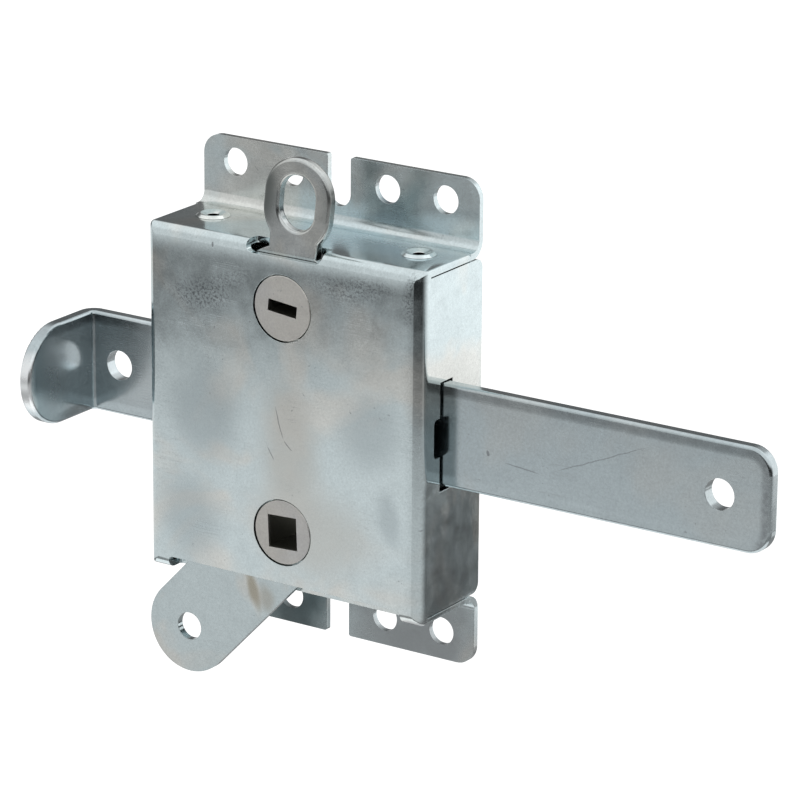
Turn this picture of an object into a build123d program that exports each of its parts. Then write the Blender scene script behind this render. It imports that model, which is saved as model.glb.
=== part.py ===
from build123d import *
import math
import os

# Garage door side lock: a folded steel case that screws to the inside of the door,
# a flat slide bolt that shoots sideways into the track, a square hub with a release
# lever and a forked drive arm that throws the bolt, and a slotted hub with a ring
# lever and a locking dog that stops the fork.
#
# Frame: millimetres. The origin is the middle of the screw hole pattern on the plane
# that lies against the door. +X is the way the bolt shoots, +Y goes into the door and
# +Z is up. The front of the case faces -Y, so a depth below counts from the front face.

# Case: one folded sheet with a front, four walls and a screw flange above and below
CASE_WIDTH = 79.4
CASE_DEPTH = 25.4
CASE_TOP = 43.1
CASE_BOTTOM = -44.1
SHEET = 1.6
FRONT_BEND = 2.6
CORNER_ROUND = 0.8
WALL_SLIT = 0.3
WALL_SLIT_DEPTH = 3.4
WALL_CORNER = 2.5
FLANGE_BEND = 2.6
BEND_LAP = 1.0
FLANGE_MIDDLE_Z = (CASE_TOP + CASE_BOTTOM) / 2
FLANGE_END = 60.65
FLANGE_CORNER = 4.9
FLANGE_INNER_CORNER = 0.6
TAB_GAP = 6.6
TAB_GAP_END = 51.5
SCREW_HOLE_RADIUS = 3.5
SCREW_OUTER_PITCH = 60.6
SCREW_INNER_PITCH = 27.8
SCREW_ROW_PITCH = 108.0

# Openings in the case
HUB_HOLE_RADIUS = 8.35
RING_SLOT_CENTRE_X = 0.25
RING_SLOT_HALF_WIDTH = 10.9
RING_SLOT_EDGE = 40.3
RING_SLOT_ROUND = 2.2
LEVER_SLOT_HALF_WIDTH = 33.9
LEVER_SLOT_EDGE = -40.9
LEVER_SLOT_ROUND = 1.2
LEVER_SLOT_DEPTH = 5.1
SLOT_BACK_ROUND = 0.8
BOLT_SLOT_CENTRE_Z = 1.375
BOLT_SLOT_HEIGHT = 27.05
BOLT_SLOT_FRONT = 7.75
BOLT_SLOT_BACK = 13.0
STUD_NOTCH_FRONT = 5.25
STUD_NOTCH_HEIGHT = 9.6
STUD_NOTCH_ROUND = 1.2

# Back plate, its ears and its rivets
PLATE_SHEET = 1.6
PLATE_FRONT_DEPTH = 23.2
PLATE_SIDE_GAP = 0.4
PLATE_BEND = 0.8
EAR_WIDTH = 14.0
EAR_FRONT_DEPTH = 8.8
EAR_CORNER = 2.5
EAR_GAP = 0.02
RIVET_CENTRE_X = 0.0
RIVET_PITCH = 59.2
RIVET_DEPTH = 13.5
RIVET_SHANK_RADIUS = 2.4
RIVET_HEAD_RADIUS = 4.0
RIVET_HEAD_HEIGHT = 1.0
RIVET_CROWN_RADIUS = 4.3
RIVET_RIDGE_RADIUS = 3.5
RIVET_MOUTH_RADIUS = 3.05
RIVET_CROWN_HEIGHT = 0.7
RIVET_MOUTH_END = 0.12
RIVET_BORE_RADIUS = 1.35
RIVET_BORE_DEPTH = 2.2
RIVET_CROWN_ROUND = 0.15

# Slide bolt: a flat bar with a thumb tab bent towards the front at its left end
BOLT_THICKNESS = 3.175
BOLT_HEIGHT = 25.4
BOLT_CENTRE_Z = 1.95
BOLT_FRONT_DEPTH = 8.5
BOLT_END_X = 127.65
BOLT_END_CORNER = 6.0
BOLT_HOLE_RADIUS = 3.8
BOLT_END_HOLE_X = 114.45
BOLT_THUMB_HOLE_X = -54.65
THUMB_FACE_X = -62.65
THUMB_REACH = 25.4
THUMB_BEND = 0.9
BOLT_FRONT_ROUND = 0.8
BOLT_BACK_ROUND = 0.45

# Drive stud on the bolt, with its roller
STUD_SHANK_RADIUS = 2.2
STUD_HEAD_RADIUS = 3.2
STUD_HEAD_FRONT_DEPTH = 5.35
STUD_HEAD_HEIGHT = 0.6
STUD_GAP = 0.05
ROLLER_RADIUS = 3.2
ROLLER_BORE_RADIUS = 2.25

# The two hubs
HUB_HALF_SPACING = 28.0
HUB_FACE_DEPTH = 0.15
HUB_FLANGE_RADIUS = 8.05
HUB_SEAT_FLAT = 13.6
HUB_JOURNAL_RADIUS = 6.6
HUB_END_DEPTH = 24.9
HUB_EDGE = 0.25
SEAT_DEPTH = 1.7
SEAT_END_DEPTH = 8.3
SEAT_GAP = 0.04
JOURNAL_CLEARANCE = 0.08
SPINDLE_SQUARE = 8.25
SPINDLE_TILT = 2.5
KEY_SLOT_WIDTH = 8.2
KEY_SLOT_HEIGHT = 2.95

# Release lever, below the case
LEVER_ANGLE = 43.4
LEVER_FRONT_DEPTH = 1.75
LEVER_THICKNESS = 1.9
LEVER_HALF_WIDTH = 11.7
LEVER_LENGTH = 42.2
LEVER_BOSS_RADIUS = 13.5
LEVER_HOLE_RADIUS = 3.5

# Forked drive arm, above the square hub and behind the levers
ARM_FRONT_DEPTH = 5.25
ARM_THICKNESS = 2.95
ARM_BOSS_RADIUS = 11.2
ARM_TIP_RADIUS = 44.5
ARM_ROOT_HALF_WIDTH = 9.3
ARM_ROOT_REACH = 33.0
ARM_TIP_HALF_WIDTH = 6.4
ARM_SLOT_CLEARANCE = 0.15
ARM_SLOT_STEPS = 10

# Ring lever, above the case
RING_ANGLE = 6.1
RING_FRONT_DEPTH = 1.95
RING_THICKNESS = 2.8
RING_DISC_RADIUS = 15.0
RING_CENTRE = 25.4
RING_EYE_CENTRE = 25.75
RING_EYE_WIDTH = 10.0
RING_EYE_HEIGHT = 13.5
RING_OUTER_WIDTH = 18.8
RING_OUTER_HEIGHT = 22.6
RING_NECK_WIDTH = 13.8
RING_NECK_ROUND = 2.0
RING_EDGE_ROUND = 0.8
RING_ROUND_START = 15.0

# Locking dog on the slotted hub, in the layer of the drive arm
DOG_REACH = 30.0
DOG_ANGLE = 60.0
DOG_WIDTH = 7.3
DOG_BOSS_RADIUS = 10.4

# Spacers and washers on the hubs
SPACER_RADIUS = 9.0
FRONT_SPACER_BORE = 8.15
WASHER_THICKNESS = 0.5
WASHER_RADIUS = 9.4
STACK_GAP = 0.05

# Bowed spring between the back plate and the bolt
SPRING_THICKNESS = 0.6
SPRING_WIDTH = 12.0
SPRING_FOOT_X = 31.0
SPRING_FOOT_LENGTH = 9.0
SPRING_TOE_LENGTH = 3.0
SPRING_TOP_HALF = 5.0
SPRING_BOLT_GAP = 0.05
SPRING_BEND = 4.0
SPRING_RIVET_RADIUS = 1.6
SPRING_RIVET_HEAD_RADIUS = 3.0
SPRING_RIVET_HEAD = 0.9

HALF_WIDTH = CASE_WIDTH / 2
BOLT_BACK_DEPTH = BOLT_FRONT_DEPTH + BOLT_THICKNESS
STUD_OFFSET = BOLT_CENTRE_Z + HUB_HALF_SPACING
STUD_X = STUD_OFFSET * math.tan(math.radians(LEVER_ANGLE))
PARTS = "parts"


def at_depth(depth):
    """Y of a plane that lies this far behind the front face of the case."""
    return depth - CASE_DEPTH


def block(x, depth, z):
    """Box from three (low, high) pairs, with the middle pair as depths."""
    size = (x[1] - x[0], depth[1] - depth[0], z[1] - z[0])
    middle = ((x[0] + x[1]) / 2, at_depth((depth[0] + depth[1]) / 2), (z[0] + z[1]) / 2)
    return Pos(*middle) * Box(*size)


def plate(outline, depth, thickness, x=0.0, z=0.0, turn=0.0):
    """Flat piece cut to an outline, from a depth back by its thickness.

    The outline is drawn as seen from the front. A positive turn is clockwise."""
    plane = Plane(origin=(x, at_depth(depth), z), x_dir=(1, 0, 0), z_dir=(0, -1, 0))
    return extrude(plane * (Rot(0, 0, -turn) * outline), amount=-thickness)


def pin(radius, front_depth, back_depth, x=0.0, z=0.0):
    """Round bar along Y between two depths."""
    return plate(Circle(radius), front_depth, back_depth - front_depth, x, z)


def seat_outline(gap):
    """Rounded square that the levers fit on: a square within the hub's circle."""
    side = HUB_SEAT_FLAT + 2 * gap
    return Rectangle(side, side) & Circle(HUB_FLANGE_RADIUS + gap)


def case_shell():
    """Front and four walls as one bent sheet, open at the back."""
    outer = block((-HALF_WIDTH, HALF_WIDTH), (0, CASE_DEPTH), (CASE_BOTTOM, CASE_TOP))
    front = outer.faces().sort_by(Axis.Y)[0]
    outer = fillet(front.edges(), FRONT_BEND)
    corners = [e for e in outer.edges().filter_by(Axis.Y) if e.length > CASE_DEPTH / 2]
    outer = fillet(corners, CORNER_ROUND)
    inner = block((SHEET - HALF_WIDTH, HALF_WIDTH - SHEET), (SHEET, CASE_DEPTH + 1),
                  (CASE_BOTTOM + SHEET, CASE_TOP - SHEET))
    front = inner.faces().sort_by(Axis.Y)[0]
    return outer - fillet(front.edges(), FRONT_BEND - SHEET)


def wall_slits():
    """Gaps that part each side wall from the top and the bottom wall."""
    slits = []
    for side in (-1, 1):
        inside, outside = sorted((side * (HALF_WIDTH - SHEET), side * (HALF_WIDTH + 1)))
        for z in (CASE_TOP - SHEET - WALL_SLIT, CASE_BOTTOM + SHEET):
            slits.append(block((inside, outside), (WALL_SLIT_DEPTH, CASE_DEPTH + 1), (z, z + WALL_SLIT)))
    return slits


def bent_strip(corners, inner_bend, thickness, width, x=0.0):
    """Strip of sheet whose middle line runs through (y, z) corners, each bent round."""
    path = FilletPolyline(*corners, radius=inner_bend + thickness / 2)
    profile = Plane.YZ * trace(path, thickness)
    return Pos(x, 0, 0) * extrude(profile, amount=width / 2, both=True)


def bent_flange(wall_z, side):
    """The end of the top (side 1) or bottom (side -1) wall, bent outwards."""
    middle_z = wall_z - side * SHEET / 2
    start = at_depth(CASE_DEPTH - FLANGE_BEND - SHEET) - BEND_LAP
    end = FLANGE_MIDDLE_Z + side * FLANGE_END
    corners = ((start, middle_z), (-SHEET / 2, middle_z), (-SHEET / 2, end))
    return bent_strip(corners, FLANGE_BEND, SHEET, CASE_WIDTH)


def edges_along_y(part, x, z):
    """Edges that run through the sheet at |x| and z."""
    found = []
    for edge in part.edges().filter_by(Axis.Y):
        middle = edge.center()
        if abs(abs(middle.X) - x) < 0.01 and abs(middle.Z - z) < 0.01:
            found.append(edge)
    return found


def flange(wall_z, side):
    """Screw flange: two tabs with rounded corners, parted by a round-ended gap."""
    part = bent_flange(wall_z, side)
    end = FLANGE_MIDDLE_Z + side * FLANGE_END
    gap_end = FLANGE_MIDDLE_Z + side * TAB_GAP_END
    gap = sorted((gap_end, end + side))
    part -= block((-TAB_GAP / 2, TAB_GAP / 2), (0, CASE_DEPTH + 1), gap)
    part -= pin(TAB_GAP / 2, 0, CASE_DEPTH + 1, 0, gap_end)
    part = fillet(edges_along_y(part, HALF_WIDTH, end), FLANGE_CORNER)
    part = fillet(edges_along_y(part, TAB_GAP / 2, end), FLANGE_INNER_CORNER)
    for pitch in (SCREW_OUTER_PITCH, SCREW_INNER_PITCH):
        for x in (-pitch / 2, pitch / 2):
            part -= pin(SCREW_HOLE_RADIUS, 0, CASE_DEPTH + 1, x, side * SCREW_ROW_PITCH / 2)
    return part


def slot_cutter(half_width, edge_z, wall_z, corner):
    """Cuts a slot for a lever through the front and its bend, and into the wall.

    The slot is centred on X = 0."""
    beyond = wall_z + math.copysign(1, wall_z)
    cutter = block((-half_width, half_width), (-1, LEVER_SLOT_DEPTH), sorted((edge_z, beyond)))
    cutter = fillet(edges_along_y(cutter, half_width, edge_z), corner)
    back = cutter.faces().sort_by(Axis.Y)[-1]
    return fillet(back.edges().filter_by(Axis.Z), SLOT_BACK_ROUND)


def bolt_slot_cutter():
    """Cuts both side walls for the bolt, with a notch at the front for the drive stud."""
    height = (BOLT_SLOT_CENTRE_Z - BOLT_SLOT_HEIGHT / 2, BOLT_SLOT_CENTRE_Z + BOLT_SLOT_HEIGHT / 2)
    notch = (BOLT_SLOT_CENTRE_Z - STUD_NOTCH_HEIGHT / 2, BOLT_SLOT_CENTRE_Z + STUD_NOTCH_HEIGHT / 2)
    through = (-HALF_WIDTH - 1, HALF_WIDTH + 1)
    slot = block(through, (BOLT_SLOT_FRONT, BOLT_SLOT_BACK), height)
    step = block(through, (STUD_NOTCH_FRONT, BOLT_SLOT_FRONT + 1), notch)
    corners = step.faces().sort_by(Axis.Y)[0].edges().filter_by(Axis.X)
    return slot + fillet(corners, STUD_NOTCH_ROUND)


def case():
    """Folded steel case with its flanges, hub holes, lever slots and bolt slots."""
    part = case_shell()
    outer_bend = FLANGE_BEND + SHEET
    for wall_z, side in ((CASE_TOP, 1), (CASE_BOTTOM, -1)):
        inside = wall_z - side * (SHEET + WALL_SLIT / 2)
        beyond = wall_z + side
        part -= block((-HALF_WIDTH - 1, HALF_WIDTH + 1), (CASE_DEPTH - outer_bend, CASE_DEPTH + 1),
                      sorted((inside, beyond)))
    for slit in wall_slits():
        part -= slit
    for z in (CASE_TOP - SHEET - WALL_SLIT, CASE_BOTTOM + SHEET + WALL_SLIT):
        corners = [e for e in part.edges().filter_by(Axis.X)
                   if abs(e.center().Y) < 0.01 and abs(e.center().Z - z) < 0.01]
        part = fillet(corners, WALL_CORNER)
    part += flange(CASE_TOP, 1)
    part += flange(CASE_BOTTOM, -1)
    for z in (-HUB_HALF_SPACING, HUB_HALF_SPACING):
        part -= pin(HUB_HOLE_RADIUS, -1, SHEET + 1, 0, z)
    ring_slot = slot_cutter(RING_SLOT_HALF_WIDTH, RING_SLOT_EDGE, CASE_TOP, RING_SLOT_ROUND)
    part -= Pos(RING_SLOT_CENTRE_X, 0, 0) * ring_slot
    part -= slot_cutter(LEVER_SLOT_HALF_WIDTH, LEVER_SLOT_EDGE, CASE_BOTTOM, LEVER_SLOT_ROUND)
    part -= bolt_slot_cutter()
    for x in rivet_places():
        for side in (-1, 1):
            part -= rivet_hole(x, side)
    return part


def rivet_places():
    """X of the rivets that hold the back plate's ears."""
    return (RIVET_CENTRE_X - RIVET_PITCH / 2, RIVET_CENTRE_X + RIVET_PITCH / 2)


def rivet_hole(x, side):
    """Cuts a wall and an ear for one rivet."""
    wall = CASE_TOP if side > 0 else CASE_BOTTOM
    return Pos(x, at_depth(RIVET_DEPTH), wall) * Cylinder(RIVET_SHANK_RADIUS, 6 * SHEET)


def ear(x, side):
    """Ear of the back plate: bent forwards along the inside of the top or bottom wall."""
    wall = CASE_TOP if side > 0 else CASE_BOTTOM
    middle_z = wall - side * (SHEET + EAR_GAP + PLATE_SHEET / 2)
    plate_y = at_depth(PLATE_FRONT_DEPTH + PLATE_SHEET / 2)
    foot_z = middle_z - side * (PLATE_BEND + PLATE_SHEET / 2 + BEND_LAP)
    corners = ((at_depth(EAR_FRONT_DEPTH), middle_z), (plate_y, middle_z), (plate_y, foot_z))
    part = bent_strip(corners, PLATE_BEND, PLATE_SHEET, EAR_WIDTH, x)
    tips = [e for e in part.edges().filter_by(Axis.Z) if e.center().Y < at_depth(EAR_FRONT_DEPTH) + 0.01]
    return fillet(tips, EAR_CORNER)


def back_plate():
    """Plate behind the works: bearings for both hubs, and four ears riveted to the case."""
    half_width = HALF_WIDTH - SHEET - PLATE_SIDE_GAP
    inset = SHEET + EAR_GAP + PLATE_BEND + PLATE_SHEET
    part = block((-half_width, half_width), (PLATE_FRONT_DEPTH, PLATE_FRONT_DEPTH + PLATE_SHEET),
                 (CASE_BOTTOM + inset, CASE_TOP - inset))
    for x in rivet_places():
        for side in (-1, 1):
            part += ear(x, side)
            part -= rivet_hole(x, side)
    for z in (-HUB_HALF_SPACING, HUB_HALF_SPACING):
        part -= pin(HUB_JOURNAL_RADIUS + JOURNAL_CLEARANCE, 0, CASE_DEPTH, 0, z)
    return part - pin(SPRING_RIVET_RADIUS, 0, CASE_DEPTH, -SPRING_FOOT_X, BOLT_CENTRE_Z)


def case_rivet(x, side):
    """Rivet from its head inside the ear to a clinched crown outside, dished round a small bore."""
    outer = CASE_TOP if side > 0 else -CASE_BOTTOM
    inner = outer - SHEET - EAR_GAP - PLATE_SHEET
    crown_top = outer + RIVET_CROWN_HEIGHT
    half = make_face(Plane.XZ * Polyline(
        (0, inner - RIVET_HEAD_HEIGHT), (RIVET_HEAD_RADIUS, inner - RIVET_HEAD_HEIGHT),
        (RIVET_HEAD_RADIUS, inner), (RIVET_SHANK_RADIUS, inner), (RIVET_SHANK_RADIUS, outer),
        (RIVET_CROWN_RADIUS, outer), (RIVET_RIDGE_RADIUS, crown_top),
        (RIVET_MOUTH_RADIUS, crown_top), (RIVET_BORE_RADIUS, outer + RIVET_MOUTH_END),
        (RIVET_BORE_RADIUS, crown_top - RIVET_BORE_DEPTH),
        (0, crown_top - RIVET_BORE_DEPTH), (0, inner - RIVET_HEAD_HEIGHT)))
    part = revolve(half, Axis.Z)
    rims = [e for e in part.edges().filter_by(GeomType.CIRCLE) if e.center(CenterOf.MASS).Z > outer + 0.01]
    part = fillet(rims, RIVET_CROWN_ROUND)
    if side < 0:
        part = mirror(part, Plane.XY)
    return Pos(x, at_depth(RIVET_DEPTH), 0) * part


def case_rivets():
    """The four rivets that join the back plate to the case, as separate solids."""
    return Compound(children=[case_rivet(x, side) for x in rivet_places() for side in (-1, 1)])


def bolt_outline():
    """Plan of the bolt's bent strip: the long bar and the thumb tab, square to each other."""
    front, back = at_depth(BOLT_FRONT_DEPTH), at_depth(BOLT_BACK_DEPTH)
    left = THUMB_FACE_X - BOLT_THICKNESS
    tip = front - THUMB_REACH
    plan = make_face(Polyline(
        (left, back), (BOLT_END_X, back), (BOLT_END_X, front), (THUMB_FACE_X, front),
        (THUMB_FACE_X, tip), (left, tip), (left, back)))
    inner = plan.vertices().sort_by_distance((THUMB_FACE_X, front, 0))[0]
    plan = fillet(inner, THUMB_BEND)
    outer = plan.vertices().sort_by_distance((left, back, 0))[0]
    return fillet(outer, THUMB_BEND + BOLT_THICKNESS)


def rounded_tab_cutter():
    """Leaves the half-round end on the thumb tab, seen from the side."""
    radius = BOLT_HEIGHT / 2
    centre_y = at_depth(BOLT_FRONT_DEPTH) - THUMB_REACH + radius
    corner = Plane.YZ * (Pos(centre_y - radius / 2, BOLT_CENTRE_Z) * Rectangle(radius, BOLT_HEIGHT)
                         - Pos(centre_y, BOLT_CENTRE_Z) * Circle(radius))
    return Pos(THUMB_FACE_X, 0, 0) * extrude(corner, amount=2 * BOLT_THICKNESS, both=True)


def bolt_rims(part):
    """Edges round the front and round the back of the bent strip, as two lists.

    The edges through its thickness and the seams of its bend are left out."""
    front_rims, back_rims = [], []
    middle_y = at_depth(BOLT_FRONT_DEPTH + BOLT_THICKNESS / 2)
    middle_x = THUMB_FACE_X - BOLT_THICKNESS / 2
    for edge in part.edges():
        middle = edge.center()
        is_line = edge.geom_type == GeomType.LINE
        through = is_line and edge.length < BOLT_THICKNESS + BOLT_BACK_ROUND
        seam = is_line and middle.X < BOLT_THUMB_HOLE_X and abs(edge.tangent_at(0.5).Z) > 0.99
        if not through and not seam:
            in_front = middle.X > middle_x and middle.Y < middle_y
            (front_rims if in_front else back_rims).append(edge)
    return front_rims, back_rims


def bolt():
    """Flat bar with two holes, round end corners and a bent thumb tab."""
    part = Pos(0, 0, BOLT_CENTRE_Z - BOLT_HEIGHT / 2) * extrude(bolt_outline(), amount=BOLT_HEIGHT)
    part -= rounded_tab_cutter()
    end_corners = [e for e in part.edges().filter_by(Axis.Y) if e.center().X > BOLT_END_X - 0.01]
    part = fillet(end_corners, BOLT_END_CORNER)
    part = fillet(bolt_rims(part)[0], BOLT_FRONT_ROUND)
    part = fillet(bolt_rims(part)[1], BOLT_BACK_ROUND)
    for x in (BOLT_END_HOLE_X, BOLT_THUMB_HOLE_X):
        part -= pin(BOLT_HOLE_RADIUS, BOLT_FRONT_DEPTH - 1, BOLT_BACK_DEPTH + 1, x, BOLT_CENTRE_Z)
    return part - pin(STUD_SHANK_RADIUS, BOLT_FRONT_DEPTH - 1, BOLT_BACK_DEPTH + 1, STUD_X, BOLT_CENTRE_Z)


def drive_stud():
    """Shouldered stud peened into the bolt, with a head that keeps its roller on."""
    head_back = STUD_HEAD_FRONT_DEPTH + STUD_HEAD_HEIGHT
    part = pin(STUD_HEAD_RADIUS, STUD_HEAD_FRONT_DEPTH, head_back, STUD_X, BOLT_CENTRE_Z)
    return part + pin(STUD_SHANK_RADIUS, head_back, BOLT_BACK_DEPTH, STUD_X, BOLT_CENTRE_Z)


def stud_roller():
    """Sleeve that turns on the stud and runs in the slot of the drive arm."""
    front = STUD_HEAD_FRONT_DEPTH + STUD_HEAD_HEIGHT + STUD_GAP
    back = BOLT_FRONT_DEPTH - STUD_GAP
    return (pin(ROLLER_RADIUS, front, back, STUD_X, BOLT_CENTRE_Z)
            - pin(ROLLER_BORE_RADIUS, front - 1, back + 1, STUD_X, BOLT_CENTRE_Z))


def hub_blank(z, turn):
    """Stepped hub: face disc, seat for the levers and a journal in the back plate."""
    part = pin(HUB_FLANGE_RADIUS, HUB_FACE_DEPTH, SEAT_DEPTH, 0, z)
    front = part.edges().filter_by(GeomType.CIRCLE).sort_by(Axis.Y)[0]
    part = fillet(front, HUB_EDGE)
    part += plate(seat_outline(0), SEAT_DEPTH, SEAT_END_DEPTH - SEAT_DEPTH, 0, z, turn)
    part += pin(HUB_JOURNAL_RADIUS, SEAT_END_DEPTH, HUB_END_DEPTH, 0, z)
    return part


def drive_hub():
    """Hub with the square hole that the door handle's spindle turns."""
    hole = plate(Rectangle(SPINDLE_SQUARE, SPINDLE_SQUARE), -1, CASE_DEPTH + 2,
                 0, -HUB_HALF_SPACING, -SPINDLE_TILT)
    return hub_blank(-HUB_HALF_SPACING, LEVER_ANGLE) - hole


def key_hub():
    """Hub with the slot that the key cylinder's flat tail turns."""
    hole = plate(Rectangle(KEY_SLOT_WIDTH, KEY_SLOT_HEIGHT), -1, CASE_DEPTH + 2,
                 0, HUB_HALF_SPACING, RING_ANGLE)
    return hub_blank(HUB_HALF_SPACING, RING_ANGLE) - hole


def release_lever():
    """Flat lever that hangs out of the bottom of the case, with a hole for a cable."""
    outline = Circle(LEVER_BOSS_RADIUS)
    outline += Pos(0, -LEVER_LENGTH / 2) * Rectangle(2 * LEVER_HALF_WIDTH, LEVER_LENGTH)
    outline += Pos(0, -LEVER_LENGTH) * Circle(LEVER_HALF_WIDTH)
    outline -= Pos(0, -LEVER_LENGTH) * Circle(LEVER_HOLE_RADIUS)
    outline -= seat_outline(SEAT_GAP)
    return plate(outline, LEVER_FRONT_DEPTH, LEVER_THICKNESS, 0, -HUB_HALF_SPACING, LEVER_ANGLE)


def arm_slot():
    """Slot in the drive arm that lets the roller pass.

    The bolt moves in proportion to the turn of the hub, while a plain slot would move
    it with the tangent of the turn. So the slot is the hull of the roller's places
    through the throw, each to both sides of the middle line, and it runs out at the tip."""
    half = ROLLER_RADIUS + ARM_SLOT_CLEARANCE
    places = Sketch()
    for step in range(ARM_SLOT_STEPS + 1):
        share = step / ARM_SLOT_STEPS
        turn = math.radians(LEVER_ANGLE) * share
        slide = STUD_X * share
        along = slide * math.sin(turn) + STUD_OFFSET * math.cos(turn)
        across = slide * math.cos(turn) - STUD_OFFSET * math.sin(turn)
        places += Pos(across, along) * Circle(half)
        places += Pos(-across, along) * Circle(half)
    mouth = Pos(0, math.hypot(STUD_X, STUD_OFFSET) + half) * Rectangle(2 * half, 2 * half)
    return make_hull(places.edges()) + mouth


def drive_arm():
    """Fork on the square hub whose two prongs throw the bolt."""
    prongs = make_face(Polyline(
        (-ARM_ROOT_HALF_WIDTH, 0), (ARM_ROOT_HALF_WIDTH, 0), (ARM_ROOT_HALF_WIDTH, ARM_ROOT_REACH),
        (ARM_TIP_HALF_WIDTH, ARM_TIP_RADIUS), (-ARM_TIP_HALF_WIDTH, ARM_TIP_RADIUS),
        (-ARM_ROOT_HALF_WIDTH, ARM_ROOT_REACH), (-ARM_ROOT_HALF_WIDTH, 0)))
    outline = (prongs & Circle(ARM_TIP_RADIUS)) + Circle(ARM_BOSS_RADIUS)
    outline -= arm_slot()
    outline -= seat_outline(SEAT_GAP)
    return plate(outline, ARM_FRONT_DEPTH, ARM_THICKNESS, 0, -HUB_HALF_SPACING, LEVER_ANGLE)


def ring_lever():
    """Ring on a short neck, on a disc that turns behind the front of the case."""
    neck_end = RING_CENTRE - (RING_OUTER_HEIGHT - RING_OUTER_WIDTH) / 2 - RING_OUTER_WIDTH / 4
    outline = Circle(RING_DISC_RADIUS) + Pos(0, neck_end / 2) * Rectangle(RING_NECK_WIDTH, neck_end)
    outline += Pos(0, RING_CENTRE) * SlotOverall(RING_OUTER_HEIGHT, RING_OUTER_WIDTH, rotation=90)
    notches = [v for v in outline.vertices() if abs(abs(v.X) - RING_NECK_WIDTH / 2) < 0.05
               and v.Y > RING_DISC_RADIUS]
    outline = fillet(notches, RING_NECK_ROUND)
    part = plate(outline, 0, RING_THICKNESS)
    eye = Pos(0, RING_EYE_CENTRE) * SlotOverall(RING_EYE_HEIGHT, RING_EYE_WIDTH, rotation=90)
    part -= plate(eye, -1, RING_THICKNESS + 2)
    middle_y = at_depth(RING_THICKNESS / 2)
    rims = [e for e in part.edges() if abs(e.center().Y - middle_y) > RING_THICKNESS / 4]
    part = fillet([e for e in rims if e.center().Z > RING_ROUND_START], RING_EDGE_ROUND)
    part -= plate(seat_outline(SEAT_GAP), -1, RING_THICKNESS + 2)
    return Pos(0, RING_FRONT_DEPTH, HUB_HALF_SPACING) * Rot(0, RING_ANGLE, 0) * part


def locking_dog():
    """Dog on the slotted hub: turned down, its end stands in the way of the fork."""
    foot = Pos(0, -DOG_REACH / 2) * Rectangle(DOG_WIDTH, DOG_REACH) & Circle(DOG_REACH)
    outline = Circle(DOG_BOSS_RADIUS) + Rot(0, 0, DOG_ANGLE) * foot
    outline -= Rot(0, 0, -RING_ANGLE) * seat_outline(SEAT_GAP)
    return plate(outline, ARM_FRONT_DEPTH, ARM_THICKNESS, 0, HUB_HALF_SPACING)


def front_spacer(z, front):
    """Sleeve round the seat, between a lever and the piece behind it."""
    back = ARM_FRONT_DEPTH - STACK_GAP
    return pin(SPACER_RADIUS, front, back, 0, z) - pin(FRONT_SPACER_BORE, front - 1, back + 1, 0, z)


def rear_spacer(z):
    """Sleeve round the journal, up to the friction washer."""
    front = SEAT_END_DEPTH + STACK_GAP
    back = PLATE_FRONT_DEPTH - WASHER_THICKNESS - 2 * STACK_GAP
    bore = HUB_JOURNAL_RADIUS + JOURNAL_CLEARANCE
    return pin(SPACER_RADIUS, front, back, 0, z) - pin(bore, front - 1, back + 1, 0, z)


def friction_washer(z):
    """Washer that drags on the back plate and holds its lever where it is put."""
    back = PLATE_FRONT_DEPTH - STACK_GAP
    front = back - WASHER_THICKNESS
    bore = HUB_JOURNAL_RADIUS + JOURNAL_CLEARANCE
    return pin(WASHER_RADIUS, front, back, 0, z) - pin(bore, front - 1, back + 1, 0, z)


def bolt_spring():
    """Bowed strip on the back plate that bears on the back of the bolt."""
    low = at_depth(PLATE_FRONT_DEPTH)
    high = at_depth(BOLT_BACK_DEPTH + SPRING_BOLT_GAP)
    foot_end = SPRING_FOOT_X - SPRING_FOOT_LENGTH / 2
    lift = SPRING_THICKNESS / 2
    path = FilletPolyline(
        (-foot_end - SPRING_FOOT_LENGTH, low - lift), (-foot_end, low - lift),
        (-SPRING_TOP_HALF, high + lift), (SPRING_TOP_HALF, high + lift),
        (foot_end, low - lift), (foot_end + SPRING_TOE_LENGTH, low - lift), radius=SPRING_BEND)
    strip = trace(path, SPRING_THICKNESS)
    part = extrude(strip, amount=SPRING_WIDTH / 2, both=True)
    part = Pos(0, 0, BOLT_CENTRE_Z) * part
    return part - pin(SPRING_RIVET_RADIUS, 0, CASE_DEPTH, -SPRING_FOOT_X, BOLT_CENTRE_Z)


def spring_rivet():
    """Rivet that holds the spring's foot to the back plate."""
    foot_front = PLATE_FRONT_DEPTH - SPRING_THICKNESS
    place = (-SPRING_FOOT_X, BOLT_CENTRE_Z)
    part = pin(SPRING_RIVET_RADIUS, foot_front, PLATE_FRONT_DEPTH + PLATE_SHEET, *place)
    return part + pin(SPRING_RIVET_HEAD_RADIUS, foot_front - SPRING_RIVET_HEAD, foot_front, *place)


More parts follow.
